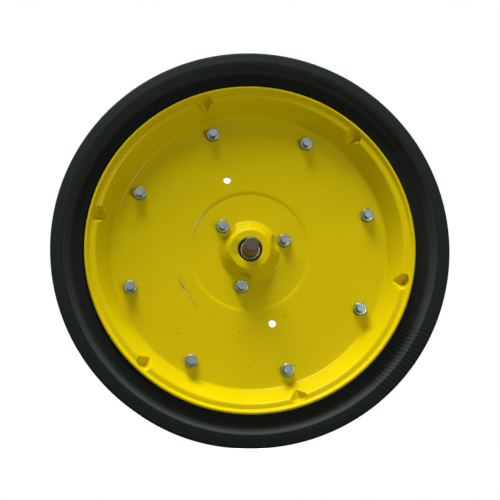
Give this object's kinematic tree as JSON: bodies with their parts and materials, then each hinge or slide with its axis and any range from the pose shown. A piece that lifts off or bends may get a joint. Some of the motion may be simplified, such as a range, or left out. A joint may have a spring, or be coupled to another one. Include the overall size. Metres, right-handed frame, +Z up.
{
  "type": "gauge wheel",
  "caption": "Depth gauge wheel of a planter: semi-pneumatic tyre on a two-piece bolted steel rim, turning on a sealed bearing and an axle bolt that stands out of the deep side.",
  "frame": {"origin": "on the axle axis, in the plane where the two rim halves meet at the hub", "axes": "+Y along the axle towards the dust cap, -Y out of the deep side where the arm bolts on, +Z up"},
  "size_m": [0.4063, 0.1236, 0.4064],
  "materials": {
    "rubber_tyre": "matt black rubber, dusty",
    "yellow_paint": "glossy yellow enamel, a little worn",
    "zinc": "zinc plated",
    "bearing_steel": "ground steel",
    "cage_plastic": "moulded nylon",
    "seal_rubber": "smooth black rubber",
    "plain_steel": "rolled steel",
    "axle_steel": "yellow zinc, dulled",
    "cap_black": "black paint"
  },
  "bodies": {
    "axle": {"axle_bolt": "axle_steel", "axle_washer": "zinc", "bearing_inner_ring": "bearing_steel"},
    "wheel": {"tyre": "rubber_tyre", "front_rim_half": "yellow_paint", "rear_rim_half": "yellow_paint", "rim_bolts": "zinc", "rim_nuts": "zinc", "hub_bolts": "zinc", "hub_nuts": "zinc", "bearing_outer_ring": "bearing_steel", "front_seal": "seal_rubber", "rear_seal": "seal_rubber", "front_seal_insert": "plain_steel", "rear_seal_insert": "plain_steel", "dust_cap": "cap_black"},
    "front_ball_set": {"front_balls": "bearing_steel", "front_cage": "cage_plastic"},
    "rear_ball_set": {"rear_balls": "bearing_steel", "rear_cage": "cage_plastic"}
  },
  "joints": [
    {"name": "wheel_spin", "type": "hinge", "parent": "axle", "child": "wheel", "pos_m": [0, 0, 0], "axis": [0, 1, 0], "continuous": true},
    {"name": "front_ball_orbit", "type": "hinge", "parent": "axle", "child": "front_ball_set", "pos_m": [0, 0, 0], "axis": [0, 1, 0], "continuous": true},
    {"name": "rear_ball_orbit", "type": "hinge", "parent": "axle", "child": "rear_ball_set", "pos_m": [0, 0, 0], "axis": [0, 1, 0], "continuous": true}
  ],
  "couplings": [
    {"joint": "front_ball_orbit", "follows": "wheel_spin", "ratio": 0.589},
    {"joint": "rear_ball_orbit", "follows": "wheel_spin", "ratio": 0.589}
  ]
}
